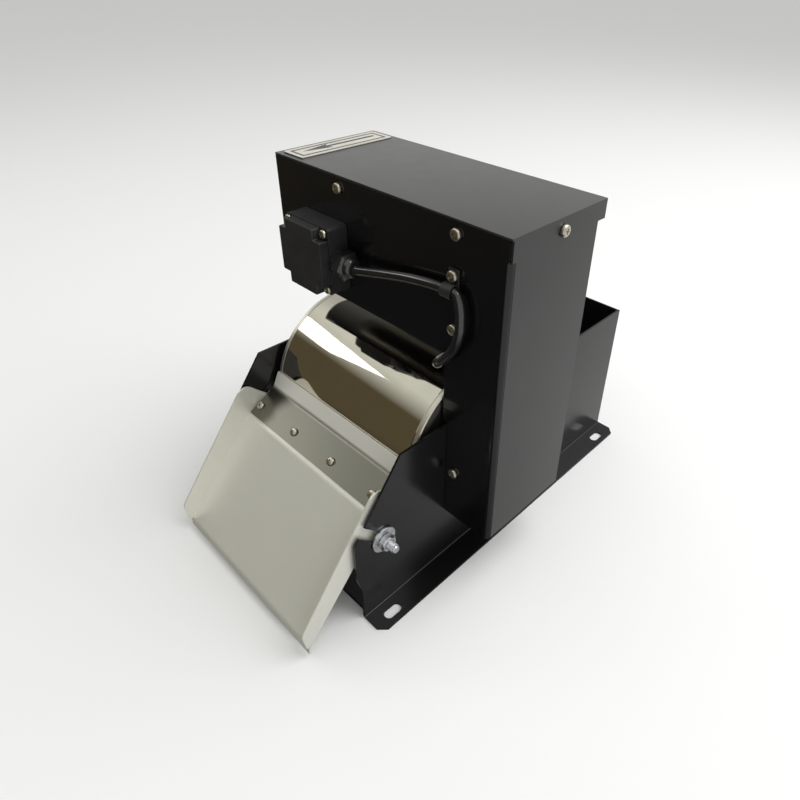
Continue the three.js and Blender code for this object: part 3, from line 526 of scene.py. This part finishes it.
def thread(length, radius):
    """Profile of a threaded stud, from local z 0, with a chamfered end."""
    depth = 0.55 * MM
    turns = int((length - 1.5 * MM) / THREAD_PITCH)
    profile = [(0, radius - depth)]
    for i in range(turns):
        z = (i + 0.5) * THREAD_PITCH
        profile += [
            (z - 0.45 * THREAD_PITCH, radius - depth),
            (z - 0.06 * THREAD_PITCH, radius),
            (z + 0.06 * THREAD_PITCH, radius),
            (z + 0.45 * THREAD_PITCH, radius - depth),
        ]
    return profile + [(length - 1 * MM, radius - 0.3 * MM), (length, radius - 1.1 * MM)]


def ring_profile(inner, outer, thick, chamfer):
    """Closed profile of a flat ring about local Z."""
    return [
        (0, inner), (0, outer - chamfer), (chamfer, outer), (thick - chamfer, outer),
        (thick, outer - chamfer), (thick, inner), (0, inner),
    ]


def nut_profile(across, bore, thick):
    """Closed profile of a nut's chamfered blank."""
    corner = across / math.sqrt(3)
    lean = 0.8 * MM
    return [
        (0, bore), (0, across * 0.48), (lean, corner), (thick - lean, corner),
        (thick, across * 0.48), (thick, bore + 0.5 * MM), (thick - 0.5 * MM, bore), (0, bore),
    ]


def add_pivots():
    """Stud, washer and nut at each side of the chute."""
    for side, direction in (("right", Vector((1, 0, 0))), ("left", Vector((-1, 0, 0)))):
        for kind in ("stud", "washer", "nut"):
            node = f"pivot_{kind}_{side}"
            low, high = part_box(node)
            long = high.x - low.x
            radius = (high.z - low.z) / 2
            if kind == "stud":
                mesh = turned(node, thread(long, radius), 48, sharp=30)
            elif kind == "washer":
                mesh = turned(node, ring_profile(4.3 * MM, radius, long, 0.25 * MM), 72)
            else:
                blank = nut_profile(NUT_ACROSS, 4.1 * MM, long)
                mesh = turned(node, blank, 96, flats(NUT_ACROSS), sharp=25)
            piece = add_piece(
                f"{kind}_{side}", mesh, "pivot_zinc", CHUTE,
                facing(direction, seat_of(node, direction)))
            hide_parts(node)


def hex_bolt(name, across, thick):
    """Hexagon head on a washer face."""
    corner = across / math.sqrt(3)
    profile = [
        (0, across * 0.46), (0.3 * MM, across * 0.46), (0.31 * MM, corner),
        (thick - 0.7 * MM, corner), (thick, across * 0.47),
    ]
    return turned(name, profile, 96, flats(across), sharp=25)


def clamp_spots():
    """Bolt places on the outer face of the shaft clamp's flange."""
    axis = centre("fixed_shaft")
    _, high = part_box("shaft_clamp")
    for i in range(3):
        angle = math.radians(90 + 120 * i)
        yield (
            high.x - CLAMP_FLANGE,
            axis.y + CLAMP_BOLT_CIRCLE * math.cos(angle),
            axis.z + CLAMP_BOLT_CIRCLE * math.sin(angle))


def bracket_spots():
    """Bolt places on the drive bracket: four near its sides and four round the output shaft."""
    low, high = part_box("drive_bracket")
    motor = centre("output_shaft")
    face = low.x + BRACKET_SHEET
    for y in (low.y + BRACKET_SIDE, high.y - BRACKET_SIDE):
        for z in (low.z + BRACKET_FOOT, BRACKET_MIDDLE):
            yield face, y, z
    for across in (-1, 1):
        for up in (-1, 1):
            yield face, motor.y + across * GEARBOX_BOLTS, motor.z + up * GEARBOX_BOLTS


def add_hex_bolts():
    """Bolts of the shaft clamp, which face left, and of the drive bracket, which face right."""
    mesh = hex_bolt("hex_head_m6", 10 * MM, 4 * MM)
    groups = (
        ("clamp_bolt", (-1, 0, 0), clamp_spots()),
        ("bracket_bolt", (1, 0, 0), bracket_spots()),
    )
    for name, direction, spots in groups:
        for i, spot in enumerate(spots, 1):
            add_piece(
                f"{name}_{i}", mesh, "zinc_plate", BASE, facing(direction, spot))


# ---------- drum ----------
def shell_profile(radius, width):
    """Closed profile of the shell, its outer edges just broken."""
    inner = radius - SHELL_WALL
    edge = radius - SHELL_CHAMFER
    return [
        (0, inner), (0, edge), (SHELL_CHAMFER, radius), (width - SHELL_CHAMFER, radius),
        (width, edge), (width, inner), (0, inner),
    ]


def disc_profile(radius, bore, width):
    """Closed profile of an end disc: spigot in the shell, rim, recessed web and boss."""
    rim_start = width - RIM
    spigot = radius - SHELL_WALL - 0.4 * MM
    web = width - DISC_STEP
    return [
        (0, spigot), (rim_start, spigot), (rim_start, radius - 0.15 * MM),
        (rim_start + 0.15 * MM, radius), (width - 0.8 * MM, radius), (width, radius - 0.8 * MM),
        (width, radius - 8 * MM), (web, radius - 9 * MM),
        (web, 30 * MM), (width - 1 * MM, 29 * MM), (width - 1 * MM, bore),
        (0, bore), (0, 29 * MM), (rim_start, 31 * MM), (rim_start, radius - 10 * MM),
        (0, radius - 9 * MM), (0, spigot),
    ]


def add_drum():
    """Polished shell and its two end discs, turned fine enough to mirror cleanly."""
    axis = centre("fixed_shaft")
    low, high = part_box("drum_shell")
    radius = (high.z - low.z) / 2
    shell = turned("drum_skin", shell_profile(radius, high.x - low.x), 256, sharp=25)
    piece = add_piece("drum_skin", shell, "polished_stainless", DRUM,
                      facing((1, 0, 0), (low.x, axis.y, axis.z)))
    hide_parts("drum_shell")
    for side, direction in (("right", 1), ("left", -1)):
        node = "drum_end_" + side
        low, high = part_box(node)
        inner = low.x if direction > 0 else high.x
        profile = disc_profile(radius, DISC_BORES[side], high.x - low.x)
        piece = add_piece("drum_disc_" + side, turned(node, profile, 192, sharp=30), "drum_rim",
                          DRUM, facing((direction, 0, 0), (inner, axis.y, axis.z)))
        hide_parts(node)


# ---------- gland, cable and nameplate ----------
# centre line of the cable in millimetres, from inside the gland to its loose end under the beam
CABLE_ROUTE = [
    (-14.2, -11.5, 271.8), (-4, -11.5, 271.8), (7, -11.4, 272.1), (20, -10.4, 274.6),
    (40, -9, 279.2), (64, -7.5, 284.2), (86, -6.6, 287.4), (99.5, -6.2, 288.3),
    (110, -6.2, 288.3), (114, -6.5, 284.6), (116.6, -7, 277), (117.4, -7.4, 268.5),
    (117.2, -7.7, 259), (114, -8, 247), (106.5, -8, 234), (97, -7, 223.5), (91, -2.5, 218.5),
    (89, 4, 217), (89, 14, 217), (89, 40, 216), (89, 96, 216),
]


def catmull_rom(points, steps):
    """Smooth points through the given ones."""
    smooth = []
    for i in range(len(points) - 1):
        p0 = points[max(i - 1, 0)]
        p1, p2 = points[i], points[i + 1]
        p3 = points[min(i + 2, len(points) - 1)]
        for k in range(steps):
            t = k / steps
            smooth.append(0.5 * (
                2 * p1 + (p2 - p0) * t + (2 * p0 - 5 * p1 + 4 * p2 - p3) * t * t
                + (3 * p1 - p0 - 3 * p2 + p3) * t ** 3))
    return smooth + [points[-1]]


def drawing_origin():
    """Where the route's own zero lies in the frame: middle of the tank, front plate, feet."""
    left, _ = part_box("side_plate_left")
    _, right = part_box("side_plate_right")
    front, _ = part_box("front_plate")
    return Vector(((left.x + right.x) / 2, front.y, left.z))


def add_cable():
    """Motor cable along its route, one round tube with closed ends."""
    origin = drawing_origin()
    points = catmull_rom([origin + Vector(p) * MM for p in CABLE_ROUTE], 8)
    curve = bpy.data.curves.new("motor_lead", "CURVE")
    curve.dimensions = "3D"
    spline = curve.splines.new("POLY")
    spline.points.add(len(points) - 1)
    for point, place in zip(spline.points, points):
        point.co = (*place, 1)
    curve.bevel_depth = CABLE_R
    curve.bevel_resolution = 7
    curve.use_fill_caps = True
    holder = bpy.data.objects.new("motor_lead_line", curve)
    bpy.context.scene.collection.objects.link(holder)
    mesh = bpy.data.meshes.new_from_object(holder)
    bpy.data.objects.remove(holder)
    mesh.materials.clear()
    mesh.shade_smooth()
    piece = add_piece("motor_lead", mesh, "cable_jacket", BASE)
    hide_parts("motor_cable")


def add_gland_nut():
    """Dome nut of the cable gland: hexagon, shoulder and a rounded nose round the cable."""
    low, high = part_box("gland_nut")
    long = high.x - low.x
    across = high.y - low.y
    corner = across / math.sqrt(3)
    thread_r, passage = 8 * MM, CABLE_R + 0.4 * MM
    profile = [(0, thread_r), (0, across * 0.47), (0.9 * MM, corner), (9.2 * MM, corner)]
    profile += [(10.4 * MM, across * 0.47), (10.8 * MM, across * 0.44)]
    dome_start = 11 * MM
    for i in range(7):
        angle = math.radians(15 * i)
        z = dome_start + (long - dome_start) * math.sin(angle)
        profile.append((z, 5.6 * MM + 3.3 * MM * math.cos(angle)))
    profile += [(long, passage), (2 * MM, passage), (0, thread_r)]
    turn = Matrix.Rotation(math.radians(30), 4, "Z")
    middle = centre("gland_nut")
    piece = add_piece(
        "gland_dome", turned("gland_dome", profile, 96, flats(across), sharp=28), "gland_nylon",
        BASE, facing((1, 0, 0), (low.x, middle.y, middle.z)) @ turn)
    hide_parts("gland_nut")


def add_nameplate():
    """Plain plate with a printed border and a long arrow that gives the drum's direction."""
    low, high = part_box("nameplate")
    width, height = high.x - low.x, high.y - low.y
    ink = 0.05 * MM
    inset, line = 4 * MM, 2.1 * MM
    r = 1.5 * MM
    corners = [(width - r, r, -90), (width - r, height - r, 0), (r, height - r, 90), (r, r, 180)]
    outline = []
    for x, y, start in corners:
        for i in range(7):
            angle = math.radians(start + 15 * i)
            outline.append((x + r * math.cos(angle), y + r * math.sin(angle)))
    plate = add_piece(
        "nameplate_sheet", prism_mesh("nameplate_sheet", outline, high.z - low.z - ink),
        "nameplate", BASE, Matrix.Translation(low))
    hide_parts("nameplate")
    top = Matrix.Translation((low.x, low.y, high.z - ink))
    outer = rectangle(inset, inset, width - inset, height - inset)
    inner = rectangle(
        inset + line, inset + line, width - inset - line, height - inset - line)
    add_piece("nameplate_border", prism_mesh("nameplate_border", outer, ink, [inner]),
              "nameplate_ink", BASE, top)
    middle = width * 0.45
    tip, tail = 11 * MM, height - 10 * MM
    shaft, barb, head = 1.7 * MM, 5.6 * MM, 30 * MM
    arrow = [
        (middle, tip), (middle + barb, tip + head), (middle + shaft, tip + head - 3 * MM),
        (middle + shaft, tail), (middle - shaft, tail),
        (middle - shaft, tip + head - 3 * MM), (middle - barb, tip + head),
    ]
    add_piece("nameplate_arrow", prism_mesh("nameplate_arrow", arrow, ink),
              "nameplate_ink", BASE, top)


# ---------- stage, light and camera ----------
def add_floor():
    """Pale floor that reaches far past the view and isn't mirrored in the metal."""
    size = 40.0
    bm = bmesh.new()
    bmesh.ops.create_grid(bm, x_segments=1, y_segments=1, size=size / 2)
    floor = bpy.data.objects.new("floor", mesh_from(bm, "floor"))
    bpy.context.scene.collection.objects.link(floor)
    surface = Surface("floor", (0.86, 0.86, 0.86), 0.9)
    surface.vary_roughness(surface.noise(3, 2), 0.85, 0.95)
    floor.data.materials.append(surface.material)
    floor.visible_glossy = False


def add_world():
    """Room seen in the surfaces: dim and warm in front, bright overhead, pale to the right."""
    world = bpy.data.worlds.new("studio")
    bpy.context.scene.world = world
    world.use_nodes = True
    tree = world.node_tree
    split = tree.nodes.new("ShaderNodeSeparateXYZ")
    direction = tree.nodes.new("ShaderNodeTexCoord").outputs["Generated"]
    tree.links.new(direction, split.inputs["Vector"])

    def share(axis, start, end):
        """0 to 1 as the direction's part along the axis goes from start to end."""
        mapped = tree.nodes.new("ShaderNodeMapRange")
        mapped.inputs["From Min"].default_value = start
        mapped.inputs["From Max"].default_value = end
        tree.links.new(split.outputs[axis], mapped.inputs["Value"])
        return mapped.outputs["Result"]

    def blend(factor, low, high):
        """Mix of two colours, each a fixed one or another blend."""
        mix = tree.nodes.new("ShaderNodeMix")
        mix.data_type = "RGBA"
        tree.links.new(factor, mix.inputs["Factor"])
        for socket, value in (("A", low), ("B", high)):
            if isinstance(value, tuple):
                mix.inputs[socket].default_value = (*value, 1)
            else:
                tree.links.new(value, mix.inputs[socket])
        return mix.outputs["Result"]

    low = blend(share("Z", -0.5, -0.25), ROOM_FRONT_LOW, ROOM_FRONT)
    front = blend(share("Z", 0.4, 0.7), low, ROOM_ABOVE)
    rear = blend(share("Z", 0.2, 0.55), ROOM_REAR, ROOM_REAR_HIGH)
    right = blend(share("Z", -0.82, -0.6), ROOM_RIGHT_LOW, ROOM_RIGHT)
    colour = blend(share("Y", -0.05, 0.35), front, rear)
    colour = blend(share("X", 0.1, 0.4), colour, right)
    seen = tree.nodes.new("ShaderNodeLightPath").outputs["Is Camera Ray"]
    colour = blend(seen, colour, BACKDROP)
    tree.links.new(colour, tree.nodes["Background"].inputs["Color"])
    tree.nodes["Background"].inputs["Strength"].default_value = 1.0


def add_light(name, at, towards, size, power):
    """A rectangular lamp aimed at a point."""
    lamp = bpy.data.lights.new(name, "AREA")
    lamp.shape = "RECTANGLE"
    lamp.size, lamp.size_y = size
    lamp.energy = power
    holder = bpy.data.objects.new(name, lamp)
    bpy.context.scene.collection.objects.link(holder)
    aim = Vector(towards) - Vector(at)
    holder.rotation_euler = aim.to_track_quat("-Z", "Y").to_euler()
    holder.location = at


def add_lights():
    """A small lamp at the front left and a large soft one high at the rear right."""
    target = (0, 0, 0.15)
    add_light("window", (-1.5, -0.85, 1.3), target, (0.6, 0.4), 2.2)
    add_light("overhead", (0.9, 0.9, 2.0), target, (2.0, 2.0), 40)


def add_camera():
    """Camera at the front right, looking down. Roll turns it about its line of sight."""
    azimuth, elevation, roll = (
        math.radians(a) for a in (CAMERA_AZIMUTH, CAMERA_ELEVATION, CAMERA_ROLL))
    forward = Vector((
        -math.sin(azimuth) * math.cos(elevation),
        math.cos(azimuth) * math.cos(elevation),
        -math.sin(elevation)))
    level = Vector((math.cos(azimuth), math.sin(azimuth), 0))
    up = level.cross(forward)
    right = level * math.cos(roll) + up * math.sin(roll)
    top = up * math.cos(roll) - level * math.sin(roll)
    data = bpy.data.cameras.new("camera")
    data.lens = CAMERA_LENS
    data.sensor_width = 36
    data.shift_x, data.shift_y = CAMERA_SHIFT
    data.clip_start = 0.01
    camera = bpy.data.objects.new("camera", data)
    bpy.context.scene.collection.objects.link(camera)
    turn = Matrix((right, top, -forward)).transposed().to_4x4()
    camera.matrix_world = Matrix.Translation(CAMERA_AT) @ turn
    bpy.context.scene.camera = camera
    bpy.context.scene.view_settings.view_transform = "Standard"


for material, members in KEPT.items():
    for member in members:
        dress(member, material)
add_screws()
add_pivots()
add_hex_bolts()
add_drum()
add_gland_nut()
add_cable()
add_nameplate()
add_floor()
add_world()
add_lights()
add_camera()
